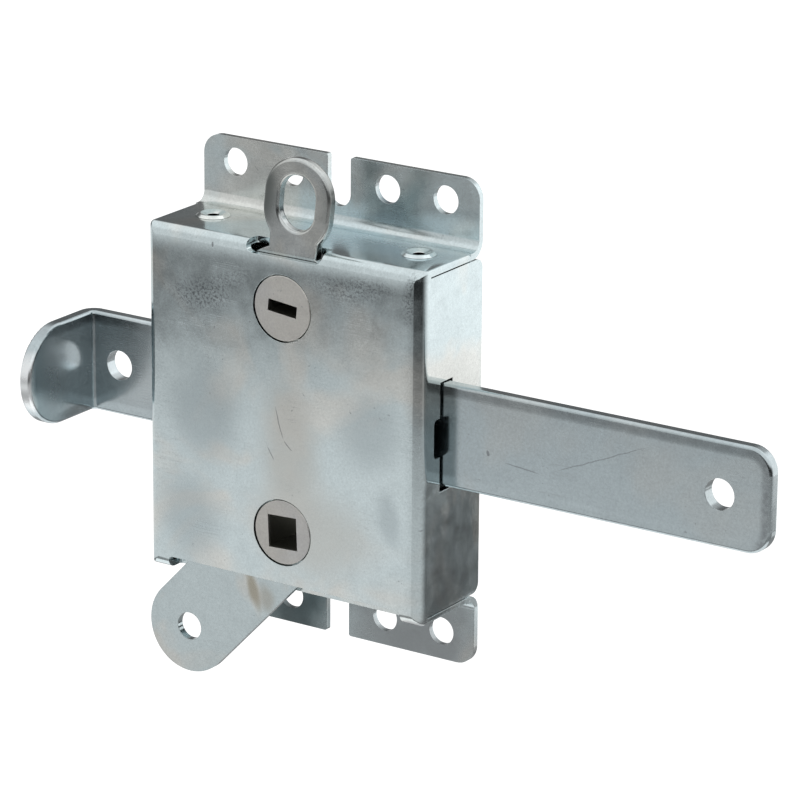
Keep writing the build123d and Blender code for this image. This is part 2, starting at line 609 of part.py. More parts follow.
def main():
    """Writes one STEP file for each sub-part."""
    os.makedirs(PARTS, exist_ok=True)
    lever_back = LEVER_FRONT_DEPTH + LEVER_THICKNESS + STACK_GAP
    ring_back = RING_FRONT_DEPTH + RING_THICKNESS + STACK_GAP
    pieces = {
        "case": case(),
        "back_plate": back_plate(),
        "case_rivets": case_rivets(),
        "bolt": bolt(),
        "drive_stud": drive_stud(),
        "stud_roller": stud_roller(),
        "drive_hub": drive_hub(),
        "release_lever": release_lever(),
        "drive_spacer": front_spacer(-HUB_HALF_SPACING, lever_back),
        "drive_arm": drive_arm(),
        "drive_sleeve": rear_spacer(-HUB_HALF_SPACING),
        "drive_washer": friction_washer(-HUB_HALF_SPACING),
        "key_hub": key_hub(),
        "ring_lever": ring_lever(),
        "key_spacer": front_spacer(HUB_HALF_SPACING, ring_back),
        "locking_dog": locking_dog(),
        "key_sleeve": rear_spacer(HUB_HALF_SPACING),
        "key_washer": friction_washer(HUB_HALF_SPACING),
        "bolt_spring": bolt_spring(),
        "spring_rivet": spring_rivet(),
    }
    for name, piece in pieces.items():
        piece.label = name
        export_step(piece, os.path.join(PARTS, name + ".step"))


main()
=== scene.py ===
import math

import bpy
import numpy as np
from mathutils import Matrix, Vector

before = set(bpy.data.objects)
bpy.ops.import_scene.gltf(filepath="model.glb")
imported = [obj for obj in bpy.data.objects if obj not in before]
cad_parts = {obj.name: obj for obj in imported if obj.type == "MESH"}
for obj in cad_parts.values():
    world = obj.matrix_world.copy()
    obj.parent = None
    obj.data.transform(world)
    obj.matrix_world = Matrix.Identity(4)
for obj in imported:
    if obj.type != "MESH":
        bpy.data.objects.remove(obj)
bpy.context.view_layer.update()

# Meshes and nodes are in metres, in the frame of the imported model. The front of the case faces
# -Y, the bolt shoots along +X and +Z is up. The values below are in millimetres, apart from the
# studio's, which are in metres. Angles are in degrees.
MM = 0.001

# Camera, fitted to the photograph, with its farthest reach in metres
CAMERA_AZIMUTH = 33.458
CAMERA_ELEVATION = 17.898
CAMERA_ROLL = 0.444
CAMERA_DISTANCE = 1023.367
CAMERA_TARGET = (33.561, -25.4, 11.626)
CAMERA_LENS = 197.889
CAMERA_SENSOR = 36.0
CAMERA_REACH = 50

# Studio
FLOOR_LEVEL = -1.6
FLOOR_SIZE = 16.0
FLOOR_COLOR = (0.86, 0.86, 0.86)
FLOOR_LIFT = 0.62
WORLD_LIGHT = 0.62
DOME_RADIUS = 2.2
DOME_TOP = 75.0
DOME_LOW = -80.0
DOME_STEPS = 64

# Lamps: name, azimuth, elevation and power
LAMP_SIZE = 1.0
LAMP_DISTANCE = 1.8
LAMPS = (
    ("overhead_lamp", -50, 62, 4.6),
    ("fill_lamp", 60, 50, 3.6),
)

# What the metal reflects, as grey levels. Each step is the elevation where the level starts to
# change, the elevation where the change is done, and the new level.
FLOOR_GLOW = 0.86
FLOOR_SHADE = 0.34
SOFT_BRIGHT = 1.05
FRONT_STEPS = (
    (-17.3, -16.0, 0.18),
    (-16.0, -13.6, 0.30),
    (-13.8, -1.0, 0.82),
    (28.0, 50.0, SOFT_BRIGHT),
)
SIDE_GLOW = 0.70
SIDE_STEPS = (
    (-19.0, -16.6, 0.03),
    (2.0, 20.0, SOFT_BRIGHT),
)
REAR_DARK = 0.12
REAR_STEPS = (
    (-19.7, -18.8, 0.03),
    (-18.7, -17.5, 1.28),
)
BACK_STEPS = (
    (-4.0, 8.0, 0.16),
    (26.0, 44.0, SOFT_BRIGHT),
)
SHADE_ELEVATIONS = (-22.5, -31.0)

# Azimuths between which one side of the studio turns into the next
FRONT_TO_SIDE = (-31.5, -6.0)
SIDE_TO_REAR = (70.0, 142.0)
REAR_TO_END = (150.6, 151.8)
REAR_TO_BACK = (160.0, 174.0)
FRONT_TO_BACK = (-66.0, -84.0)
END_GLOW = 1.4

# Linear colours of the plated pieces
ZINC_COOL = (0.50, 0.57, 0.585)
ZINC_WARM = (0.57, 0.585, 0.565)
# Dark of scratches and flecks, and the colour of the painted shade on the bolt's bar
ZINC_DARK = (0.20, 0.215, 0.23)
ZINC_PALE = (0.66, 0.68, 0.69)
BOLT_COOL = (0.46, 0.53, 0.555)
BOLT_WARM = (0.49, 0.54, 0.55)
RING_COOL = (0.54, 0.57, 0.57)
HUB_COOL = (0.53, 0.53, 0.52)
HUB_WARM = (0.55, 0.54, 0.51)
# Painted shade inside the hubs' sockets
SOCKET_PAINTED_SHADE = (0.16, 0.16, 0.135)
# Painted shade inside the rivets' bores
BORE_PAINTED_SHADE = (0.03, 0.033, 0.028)

# Linear colours of the works
STEEL_COOL = (0.42, 0.44, 0.46)
STEEL_WARM = (0.46, 0.44, 0.41)
SPRING_BLUE = (0.10, 0.12, 0.17)
SPRING_STRAW = (0.22, 0.17, 0.11)

# Spring steel: features per metre of its patches and its grain, its roughness and its height
SPRING_PATCH_SCALE = 90.0
SPRING_GRAIN_SCALE = (60.0, 1400.0, 1400.0)
SPRING_STRAW_SPAN = (0.4, 0.7)
SPRING_ROUGH = 0.22
SPRING_ROUGH_GRAIN = 0.18
SPRING_GRAIN_HEIGHT = 0.004

# Plating: features per metre of each texture, from large to fine
CLOUD_SCALE = 34.0
WAVE_SCALE = 42.0
GATHER_SCALE = 60.0
WORN_SCALE = 75.0
WOBBLE_SCALE = 90.0
MOTTLE_SCALE = 210.0
SCRATCH_WOBBLE_SCALE = 260.0
FLECK_SCALE = 760.0
STIPPLE_SCALE = 900.0
SPECKLE_SCALE = 1500.0
GRAIN_SCALE = 1700.0

# Plating: values of each noise between which its mask goes from nothing to full
GATHER_SPAN = (0.42, 0.60)
WORN_SPAN = (0.48, 0.66)
FLECK_SPAN = (0.68, 0.74)
STIPPLE_SPAN = (0.30, 0.62)
SPECKLE_SPAN = (0.45, 0.60)
STIPPLE_LEAST = 0.35

# Plating: values of the clouds between which cool turns warm, and how far a full warm share
# lowers them
WARM_START = 0.62
WARM_FULL = 0.78
WARM_SHIFT = 0.3

# Plating: how much each texture shades the colour
SHADE_BASE = 0.60
SHADE_MOTTLE = 0.38
SHADE_GRAIN = 0.42
HAIR_PALE = 0.16

# Plating: how much each texture adds to the roughness
ROUGH_LEAST = 0.05
ROUGH_MOTTLE = 0.11
ROUGH_CLOUDS = 0.05
ROUGH_HAIR = 0.10
ROUGH_PATCH = 0.12

# Plating: height of each texture, as a share of the wave of the sheet
HEIGHT_MOTTLE = 0.06
HEIGHT_GRAIN = 0.028
HEIGHT_HAIR = 0.02
HEIGHT_SCRATCH = 0.35
HEIGHT_PITS = 0.08

# Patches (stain marks and painted light) and scratches: how far their outlines wander, the share
# of a patch's radius that is at full strength, and the value of a scratch's soft ellipse
# from which it is
PATCH_WOBBLE = 2.2
SCRATCH_WOBBLE = 0.35
PATCH_CORE = 0.25
SCRATCH_FULL = 0.35

# Samples of the softened edges
BEVEL_SAMPLES = 6

# Faces of the case
FRONT = -25.4
CASE_TOP = 43.1
CASE_BOTTOM = -44.1

# Crown of the case's front below the top bend
CROWN_START = 36.3
CROWN_REACH = 4.6
CROWN_CURVE = 0.0125

# Crown of the case's front beside the right bend, which fades out along the side wall
EDGE_START = 33.6
EDGE_REACH = 6.5
EDGE_CURVE = 0.015
EDGE_GONE_DEPTH = -4.0
EDGE_FULL_DEPTH = -20.4

# Lean of the case's tabs, as a slope
LOW_TAB_START = -46.0
LOW_TAB_LEAN = 0.075
HIGH_TAB_START = 43.0
HIGH_TAB_LEAN = 0.06
HIGH_LEAN_START = -14.0
HIGH_LEAN_FULL = -40.0

# Duller plate of the case towards the door, above and below the side walls
DULL_START_HEIGHT = 41.0
DULL_FULL_HEIGHT = 42.6
DULL_START_DEPTH = -23.4
DULL_FULL_DEPTH = -3.0
DULL_ROUGH = 0.10

# Bar of the bolt, and the soft fall of its face towards its edges
BOLT_MIDDLE = 1.95
BOLT_HALF = 12.7
BOLT_END = 127.65
BOLT_CORNER = 6.0
BOLT_ROLL = 3.2
BOLT_ROLL_OVER = 0.3
BOLT_FALL = 0.09

# Band of painted shade on the bar, which is also rougher: its edges in from the bar's outline, and
# where it shows, in from the bar's end and up from its middle
BAND_FULL = 1.4
RIM_START = 1.0
RIM_FULL = 0.5
END_BAND_START = 5.0
END_BAND_FULL = 2.0
END_BAND_SHARE = 0.55
TOP_BAND_START = 6.0
TOP_BAND_FULL = 11.0
TOP_BAND_SHARE = 0.35

# Hubs: depths where painted shade darkens their sockets behind the front, and where that ends
# at the back
SOCKET_START_DEPTH = -24.9
SOCKET_FULL_DEPTH = -24.3
SOCKET_BACK_GONE = -1.2
SOCKET_BACK_START = -2.0

# Rivets: height over the case within which painted shade darkens their bores
BORE_FADE = 0.1

# Hair lines: turn, features per metre along and across, and width of a line
HAIR_LINES = (
    (28.0, 18.0, 900.0, 0.012),
    (-61.0, 24.0, 1100.0, 0.009),
)

# Patches, with colours named for where they lie: stain marks and tints of the plate, and painted
# shade and painted highlights where noted. Each is its centre, half sizes, turn about Y, colour,
# share, and whether it is broken up into speckle.
CASE_BLUE = (0.42, 0.49, 0.515)
CASE_PALE_BLUE = (0.46, 0.53, 0.555)
CASE_CREAM = (0.62, 0.62, 0.585)
SPECKLE_DARK = (0.10, 0.11, 0.12)
FLANGE_BLUE = (0.16, 0.22, 0.26)
# Painted shade on the front's bottom bend and on the lower tab
CASE_PAINTED_SHADE_GREY = (0.30, 0.31, 0.32)
CASE_PAINTED_SHADE_DARK = (0.07, 0.09, 0.095)
# Blue of the top wall: partly the plate's tint, partly a painted sheen that brightens it
WALL_BLUE_AND_SHEEN = (0.60, 0.76, 0.84)
CASE_STAINS_AND_PAINTED_LIGHT = (
    ((-22.6, FRONT, -1.8), (14.0, 60.0, 17.0), 6.0, CASE_BLUE, 0.50, False),
    ((-27.0, FRONT, -28.8), (13.0, 60.0, 16.0), 0.0, CASE_BLUE, 0.50, False),
    ((25.2, FRONT, 1.5), (12.0, 60.0, 13.0), -15.0, CASE_PALE_BLUE, 0.45, False),
    ((30.2, FRONT, -18.7), (5.0, 60.0, 9.0), 10.0, CASE_PALE_BLUE, 0.50, False),
    ((2.3, FRONT, -8.4), (12.0, 60.0, 28.0), 4.0, CASE_CREAM, 0.60, False),
    ((8.1, FRONT, -26.1), (24.0, 60.0, 16.0), -6.0, CASE_CREAM, 0.60, False),
    ((-16.0, FRONT, 20.0), (8.0, 60.0, 5.0), 20.0, CASE_CREAM, 0.40, False),
    ((-23.8, FRONT, 28.2), (14.0, 60.0, 6.0), 12.0, SPECKLE_DARK, 0.90, True),
    ((-13.0, FRONT, 33.0), (7.0, 60.0, 3.0), 8.0, SPECKLE_DARK, 0.50, True),
    ((20.0, FRONT, 36.0), (18.0, 60.0, 4.4), 0.0, SPECKLE_DARK, 0.70, True),
    ((36.5, FRONT, 36.0), (3.0, 60.0, 9.0), 0.0, SPECKLE_DARK, 0.70, True),
    # Dark blue patch on the upper tab, beside the ring
    ((14.0, 0.0, 48.5), (7.0, 3.0, 9.0), 12.0, FLANGE_BLUE, 0.90, False),
    # Blue tint and painted sheen on the top wall
    ((14.0, -12.0, 43.0), (34.0, 13.0, 2.5), 0.0, WALL_BLUE_AND_SHEEN, 0.60, False),
    # Painted shade on the front's bottom bend and on the lower tab
    ((36.0, -23.4, -43.9), (7.0, 4.0, 1.9), 0.0, CASE_PAINTED_SHADE_GREY, 1.0, False),
    ((-12.0, -1.0, -57.0), (18.0, 3.0, 16.0), 0.0, CASE_PAINTED_SHADE_DARK, 0.85, False),
    ((24.0, -1.0, -57.0), (30.0, 3.0, 22.0), 0.0, CASE_PAINTED_SHADE_GREY, 0.70, False),
)
# Painted shade on the bolt's tab face, painted highlight on its rim, painted sheen on the bar's left
TAB_PAINTED_SHADE = (0.40, 0.45, 0.47)
RIM_PAINTED_HIGHLIGHT = (0.92, 0.95, 0.96)
BAR_PAINTED_SHEEN = (0.84, 0.90, 0.92)
BOLT_PAINTED_LIGHT = (
    ((-64.0, -33.0, 2.0), (6.0, 9.0, 18.0), 0.0, TAB_PAINTED_SHADE, 0.80, False),
    ((-64.0, -42.3, 2.0), (7.0, 3.0, 24.0), 0.0, RIM_PAINTED_HIGHLIGHT, 1.0, False),
    ((-50.0, -15.0, 4.0), (16.0, 6.0, 18.0), 0.0, BAR_PAINTED_SHEEN, 0.60, False),
)
# Painted shade over the lower rivets' crowns below the bottom wall
RIVET_PAINTED_SHADE = (0.20, 0.21, 0.21)
RIVET_PAINTED_SHADE_PATCHES = (
    ((26.0, -13.5, -45.0), (20.0, 20.0, 4.0), 0.0, RIVET_PAINTED_SHADE, 1.0, False),
)
# Painted shade on the ring lever's face, deepest on its left
RING_PAINTED_SHADE_DARK = (0.15, 0.165, 0.16)
RING_PAINTED_SHADE_GREY = (0.24, 0.255, 0.25)
RING_PAINTED_SHADE_PATCHES = (
    ((-7.5, -24.0, 56.0), (8.0, 60.0, 15.0), 0.0, RING_PAINTED_SHADE_DARK, 0.95, False),
    ((13.5, -24.0, 57.0), (6.0, 60.0, 14.0), 0.0, RING_PAINTED_SHADE_GREY, 0.75, False),
)
LEVER_BROWN = (0.42, 0.39, 0.31)
LEVER_TAN = (0.46, 0.45, 0.40)
LEVER_STAINS = (
    ((-9.6, -24.0, -45.2), (2.0, 60.0, 7.0), 20.0, LEVER_BROWN, 0.80, False),
    ((-5.6, -24.0, -46.5), (3.4, 60.0, 4.5), 10.0, LEVER_TAN, 0.65, False),
)

# Scratches: centre, half sizes, turn about Y and share
CASE_SCRATCHES = (
    ((-0.83, FRONT, -0.4), (0.16, 60.0, 5.0), 15.7, 0.7),
    ((1.75, FRONT, -5.7), (2.1, 60.0, 0.15), -37.7, 0.7),
    ((-3.27, FRONT, -8.44), (0.14, 60.0, 2.2), 32.9, 0.6),
    ((-19.95, FRONT, 40.5), (0.4, 60.0, 0.9), 0.0, 0.8),
)
BOLT_SCRATCHES = (
    ((62.1, -15.0, -2.0), (6.0, 60.0, 0.18), -5.0, 0.5),
    ((83.1, -15.0, 4.2), (17.0, 60.0, 0.18), 23.4, 0.4),
    ((52.6, -15.0, -0.1), (0.5, 60.0, 0.9), 20.0, 0.7),
)


def camera_axes():
    """Right, up and forward of the camera, from its azimuth, elevation and roll."""
    azimuth = math.radians(CAMERA_AZIMUTH)
    elevation = math.radians(CAMERA_ELEVATION)
    roll = math.radians(CAMERA_ROLL)
    forward = Vector((-math.sin(azimuth) * math.cos(elevation),
                      math.cos(azimuth) * math.cos(elevation),
                      -math.sin(elevation)))
    level_right = Vector((math.cos(azimuth), math.sin(azimuth), 0))
    level_up = level_right.cross(forward)
    right = level_right * math.cos(roll) + level_up * math.sin(roll)
    up = level_up * math.cos(roll) - level_right * math.sin(roll)
    return right, up, forward


def make_camera():
    """Camera at the photograph's viewing angle."""
    right, up, forward = camera_axes()
    data = bpy.data.cameras.new("camera")
    data.lens = CAMERA_LENS
    data.sensor_width = CAMERA_SENSOR
    data.clip_end = CAMERA_REACH
    camera = bpy.data.objects.new("camera", data)
    place = (Vector(CAMERA_TARGET) - forward * CAMERA_DISTANCE) * MM
    turn = Matrix((right, up, -forward)).transposed().to_4x4()
    camera.matrix_world = Matrix.Translation(place) @ turn
    bpy.context.scene.collection.objects.link(camera)
    bpy.context.scene.camera = camera


def add_node(tree, kind, inputs=None, **settings):
    """New shader node, with its inputs set to values or linked to sockets."""
    made = tree.nodes.new(kind)
    for name, value in settings.items():
        setattr(made, name, value)
    for key, value in (inputs or {}).items():
        if isinstance(value, bpy.types.NodeSocket):
            tree.links.new(value, made.inputs[key])
        else:
            made.inputs[key].default_value = value
    return made


def maths(tree, operation, first, second=0.0, clamp=False):
    """Result of one Math node."""
    made = add_node(tree, "ShaderNodeMath", {0: first, 1: second}, operation=operation,
                    use_clamp=clamp)
    return made.outputs[0]


def plus(tree, first, second):
    """Sum of two values."""
    return maths(tree, "ADD", first, second)


def minus(tree, first, second):
    """First value less the second."""
    return maths(tree, "SUBTRACT", first, second)


def times(tree, first, second):
    """Product of two values."""
    return maths(tree, "MULTIPLY", first, second)


def larger(tree, first, second):
    """Larger of two values, of which the first may be missing."""
    return second if first is None else maths(tree, "MAXIMUM", first, second)


def past_start(tree, value, start):
    """How far a value lies past a start, and 0 before it."""
    return maths(tree, "MAXIMUM", minus(tree, value, start), 0.0)


def vectors(tree, operation, first, second):
    """Result of one Vector Math node."""
    made = add_node(tree, "ShaderNodeVectorMath", {0: first, 1: second}, operation=operation)
    return made.outputs["Value"] if operation == "LENGTH" else made.outputs["Vector"]


def mix_colors(tree, share, first, second, blend_type="MIX"):
    """Second colour over the first by a share."""
    made = add_node(tree, "ShaderNodeMix", {"Factor": share, 6: first, 7: second},
                    data_type="RGBA", blend_type=blend_type)
    return made.outputs[2]


def spread(tree, value, low, high, to_low=0.0, to_high=1.0):
    """Smooth step of a value from one range to another."""
    made = add_node(tree, "ShaderNodeMapRange",
                    {"Value": value, "From Min": low, "From Max": high,
                     "To Min": to_low, "To Max": to_high},
                    interpolation_type="SMOOTHSTEP")
    return made.outputs["Result"]


def blend(tree, share, first, second):
    """Number that goes from the first to the second as the share goes from 0 to 1."""
    made = add_node(tree, "ShaderNodeMix", {0: share, 2: first, 3: second}, data_type="FLOAT")
    return made.outputs[0]


def noise(tree, place, scale, detail=2.0, rough=0.5, distortion=0.0):
    """Noise from 0 to 1 at a scale of features per metre."""
    made = add_node(tree, "ShaderNodeTexNoise",
                    {"Vector": place, "Scale": scale, "Detail": detail, "Roughness": rough,
                     "Distortion": distortion})
    return made.outputs["Fac"]


def wandering(tree, place, scale, reach):
    """Place moved by up to a reach, by coloured noise."""
    color = add_node(tree, "ShaderNodeTexNoise",
                     {"Vector": place, "Scale": scale, "Detail": 2.0}).outputs["Color"]
    centred = vectors(tree, "SUBTRACT", color, (0.5, 0.5, 0.5))
    scaled = vectors(tree, "MULTIPLY", centred, (2 * reach, 2 * reach, 2 * reach))
    return vectors(tree, "ADD", place, scaled)


def stretched(tree, place, scale, turn=(0, 0, 0)):
    """Place turned and stretched, for lines and grain that run one way."""
    turned = add_node(tree, "ShaderNodeMapping",
                      {"Vector": place, "Rotation": [math.radians(angle) for angle in turn],
                       "Scale": scale})
    return turned.outputs["Vector"]


def patch(tree, place, centre, half, turn=0.0, full=0.0):
    """Mask of a soft ellipse: 0 where its radius reaches 1, and 1 inside the radius called full.

    centre and half sizes are in millimetres, and the turn is about Y."""
    moved = vectors(tree, "SUBTRACT", place, tuple(value * MM for value in centre))
    turned = add_node(tree, "ShaderNodeVectorRotate",
                      {"Vector": moved, "Axis": (0, 1, 0), "Angle": math.radians(turn)},
                      rotation_type="AXIS_ANGLE").outputs["Vector"]
    sized = vectors(tree, "DIVIDE", turned, tuple(value * MM for value in half))
    radius = vectors(tree, "LENGTH", sized, (0, 0, 0))
    return spread(tree, radius, 1.0, full)


def object_place(tree):
    """Object coordinates: metres in the frame of the model."""
    return add_node(tree, "ShaderNodeTexCoord").outputs["Object"]


def split_place(tree, place):
    """X, Y and Z of a place."""
    return add_node(tree, "ShaderNodeSeparateXYZ", {0: place}).outputs


def new_material(name):
    """Empty node material, its tree and its output node."""
    material = bpy.data.materials.new(name)
    material.use_nodes = True
    tree = material.node_tree
    tree.nodes.clear()
    output = tree.nodes.new("ShaderNodeOutputMaterial")
    return material, tree, output


def link_metal(tree, output, color, gloss, bump):
    """Metal shader from a colour, a roughness and a bump node, linked to the output."""
    shader = add_node(tree, "ShaderNodeBsdfPrincipled",
                      {"Base Color": color, "Roughness": gloss, "Metallic": 1.0,
                       "Normal": bump.outputs[0]})
    tree.links.new(shader.outputs[0], output.inputs["Surface"])


def case_crowns(tree, across, depth, up):
    """Fall of the case's front beside its top bend and its right bend.

    Each falls with the square of the way past its start, up to its reach."""
    rise = past_start(tree, up, CROWN_START * MM)
    rise = maths(tree, "MINIMUM", rise, CROWN_REACH * MM)
    top = times(tree, maths(tree, "POWER", rise, 2.0), CROWN_CURVE / MM)
    past = past_start(tree, across, EDGE_START * MM)
    past = maths(tree, "MINIMUM", past, EDGE_REACH * MM)
    edge = times(tree, maths(tree, "POWER", past, 2.0), EDGE_CURVE / MM)
    on_front = spread(tree, depth, EDGE_GONE_DEPTH * MM, EDGE_FULL_DEPTH * MM)
    return plus(tree, top, times(tree, edge, on_front))


def case_form(tree, place):
    """Height of the case's sheet over a true flat: crowns beside the top bend and the right bend,
    lower tabs that lean a little, and an upper tab that leans back at its left end.

    A tab's lean is its slope times the way past its start."""
    across, depth, up = split_place(tree, place)
    above = past_start(tree, up, HIGH_TAB_START * MM)
    lean = spread(tree, across, HIGH_LEAN_START * MM, HIGH_LEAN_FULL * MM, 0.0, HIGH_TAB_LEAN)
    fall = plus(tree, case_crowns(tree, across, depth, up), times(tree, above, lean))
    below = maths(tree, "MINIMUM", minus(tree, up, LOW_TAB_START * MM), 0.0)
    return minus(tree, times(tree, below, -LOW_TAB_LEAN), fall)


def case_dull(tree, place):
    """Extra roughness of the case's sheet towards the door, above and below its side walls."""
    _, depth, up = split_place(tree, place)
    outside = spread(tree, maths(tree, "ABSOLUTE", up), DULL_START_HEIGHT * MM, DULL_FULL_HEIGHT * MM)
    behind = spread(tree, depth, DULL_START_DEPTH * MM, DULL_FULL_DEPTH * MM, 0.0, DULL_ROUGH)
    return times(tree, outside, behind)


def bolt_reach(tree, place):
    """How far a point of the bar lies beyond the core that its round corners are centred on."""
    along, _, up = split_place(tree, place)
    aside = maths(tree, "ABSOLUTE", minus(tree, up, BOLT_MIDDLE * MM))
    aside = past_start(tree, aside, (BOLT_HALF - BOLT_CORNER) * MM)
    ahead = past_start(tree, along, (BOLT_END - BOLT_CORNER) * MM)
    beyond = add_node(tree, "ShaderNodeCombineXYZ", {0: ahead, 1: aside}).outputs[0]
    return vectors(tree, "LENGTH", beyond, (0, 0, 0))


def bolt_form(tree, place):
    """Height of the bar's face: it falls away softly towards its edges."""
    rolled = spread(tree, bolt_reach(tree, place), (BOLT_CORNER - BOLT_ROLL) * MM,
                    (BOLT_CORNER + BOLT_ROLL_OVER) * MM)
    return times(tree, rolled, -BOLT_FALL * MM)


def bolt_painted_shade_mask(tree, place):
    """Mask of painted shade, broken up by stipple, in a band inside the end of the bar, and fainter
    inside its top edge.
    """
    reach = bolt_reach(tree, place)
    along, _, up = split_place(tree, place)
    band = spread(tree, reach, (BOLT_CORNER - BOLT_ROLL) * MM, (BOLT_CORNER - BAND_FULL) * MM)
    rim = spread(tree, reach, (BOLT_CORNER - RIM_START) * MM, (BOLT_CORNER - RIM_FULL) * MM)
    near_end = spread(tree, along, (BOLT_END - END_BAND_START) * MM, (BOLT_END - END_BAND_FULL) * MM,
                      0.0, END_BAND_SHARE)
    near_top = spread(tree, up, (BOLT_MIDDLE + TOP_BAND_START) * MM,
                      (BOLT_MIDDLE + TOP_BAND_FULL) * MM, 0.0, TOP_BAND_SHARE)
    stipple = spread(tree, noise(tree, place, STIPPLE_SCALE, detail=4.0, rough=0.7),
                     *STIPPLE_SPAN, STIPPLE_LEAST, 1.0)
    mask = times(tree, band, larger(tree, near_end, near_top))
    mask = times(tree, mask, minus(tree, 1.0, rim))
    return times(tree, mask, stipple)


def socket_painted_shade_mask(tree, place):
    """Mask of painted shade on the walls inside a hub's hole, a little way behind its face."""
    _, depth, _ = split_place(tree, place)
    behind = spread(tree, depth, SOCKET_START_DEPTH * MM, SOCKET_FULL_DEPTH * MM)
    return times(tree, behind, spread(tree, depth, SOCKET_BACK_GONE * MM, SOCKET_BACK_START * MM))


def bore_painted_shade_mask(tree, place):
    """Mask of painted shade on the walls of the rivets' small bores, inside the top and bottom of
    the case.
    """
    _, _, up = split_place(tree, place)
    below_top = spread(tree, up, (CASE_TOP + BORE_FADE) * MM, CASE_TOP * MM)
    above_bottom = spread(tree, up, (CASE_BOTTOM - BORE_FADE) * MM, CASE_BOTTOM * MM)
    return times(tree, below_top, above_bottom)


def hair_lines(tree, place):
    """Mask of fine lines in two directions, where the plate is worn.

    Each line is the narrow crest of a stretched noise."""
    lines = None
    for turn, along_scale, across_scale, width in HAIR_LINES:
        scale = (along_scale, across_scale, across_scale)
        ridges = noise(tree, stretched(tree, place, scale, (0, turn, 0)), 1.0, rough=0.55)
        crest = maths(tree, "ABSOLUTE", minus(tree, ridges, 0.5))
        lines = larger(tree, lines, spread(tree, crest, width, 0.0))
    worn = spread(tree, noise(tree, place, WORN_SCALE, detail=3.0), *WORN_SPAN)
    return times(tree, lines, worn)


def flecks_mask(tree, place, share):
    """Mask of small dark marks, which gather in places."""
    marks = spread(tree, noise(tree, place, FLECK_SCALE, detail=3.0, rough=0.6), *FLECK_SPAN)
    gathered = spread(tree, noise(tree, place, GATHER_SCALE), *GATHER_SPAN, 0.0, share)
    return times(tree, marks, gathered)


def plate_color(tree, textures, cool, warm, warm_share, level):
    """Cool plate with warm clouds, shaded by the mottle and the grain."""
    clouds, mottle, grain = textures
    lower = WARM_SHIFT * warm_share
    warmth = spread(tree, clouds, WARM_START - lower, WARM_FULL - lower)
    color = mix_colors(tree, warmth, (*cool, 1), (*warm, 1))
    shade = plus(tree, times(tree, mottle, SHADE_MOTTLE), times(tree, grain, SHADE_GRAIN))
    shade = times(tree, plus(tree, shade, SHADE_BASE), level)
    grey = add_node(tree, "ShaderNodeCombineColor", {0: shade, 1: shade, 2: shade}).outputs[0]
    return mix_colors(tree, 1.0, color, grey, "MULTIPLY")


def add_patches(tree, place, color, patch_mask, patches):
    """Colour with stain marks and painted light over it, the mask of all these patches, and that of
    the speckle.
    """
    wobbled = wandering(tree, place, WOBBLE_SCALE, PATCH_WOBBLE * MM)
    speckle = noise(tree, place, SPECKLE_SCALE, detail=4.0, rough=0.72)
    pitted = None
    for centre, half, turn, patch_color, share, speckled in patches:
        mask = patch(tree, wobbled, centre, half, turn, PATCH_CORE)
        if speckled:
            mask = times(tree, mask, spread(tree, speckle, *SPECKLE_SPAN))
        mask = times(tree, mask, share)
        color = mix_colors(tree, mask, color, (*patch_color, 1))
        patch_mask = larger(tree, patch_mask, mask)
        if speckled:
            pitted = larger(tree, pitted, mask)
    return color, patch_mask, pitted


def add_scratches(tree, place, color, scratches):
    """Colour with single dark scratches over it, and the mask of the scratches."""
    wobbled = wandering(tree, place, SCRATCH_WOBBLE_SCALE, SCRATCH_WOBBLE * MM)
    scored = None
    for centre, half, turn, share in scratches:
        line = spread(tree, patch(tree, wobbled, centre, half, turn), 0.0, SCRATCH_FULL)
        mask = times(tree, line, share)
        color = mix_colors(tree, mask, color, (*ZINC_DARK, 1))
        scored = larger(tree, scored, mask)
    return color, scored


def plate_gloss(tree, textures, rough, fine, patch_mask):
    """Roughness that plays with the mottle and the clouds, and is more on lines and on the patches
    of stain marks and painted light.
    """
    clouds, mottle, _ = textures
    gloss = times(tree, minus(tree, mottle, 0.5), ROUGH_MOTTLE)
    gloss = plus(tree, gloss, times(tree, minus(tree, clouds, 0.5), ROUGH_CLOUDS))
    gloss = plus(tree, gloss, rough)
    gloss = plus(tree, gloss, times(tree, fine, ROUGH_HAIR))
    if patch_mask is not None:
        gloss = plus(tree, gloss, times(tree, patch_mask, ROUGH_PATCH))
    return gloss


def plate_height(tree, place, textures, fine, scored, pitted):
    """Height of the plate as a share of its wave: soft waves, mottle, grain, lines and pits."""
    _, mottle, grain = textures
    height = noise(tree, place, WAVE_SCALE)
    height = plus(tree, height, times(tree, mottle, HEIGHT_MOTTLE))
    height = plus(tree, height, times(tree, grain, HEIGHT_GRAIN))
    height = minus(tree, height, times(tree, fine, HEIGHT_HAIR))
    if scored is not None:
        height = minus(tree, height, times(tree, scored, HEIGHT_SCRATCH))
    if pitted is not None:
        pits = times(tree, pitted, noise(tree, place, SPECKLE_SCALE, detail=3.0, rough=0.7))
        height = plus(tree, height, times(tree, pits, HEIGHT_PITS))
    return height


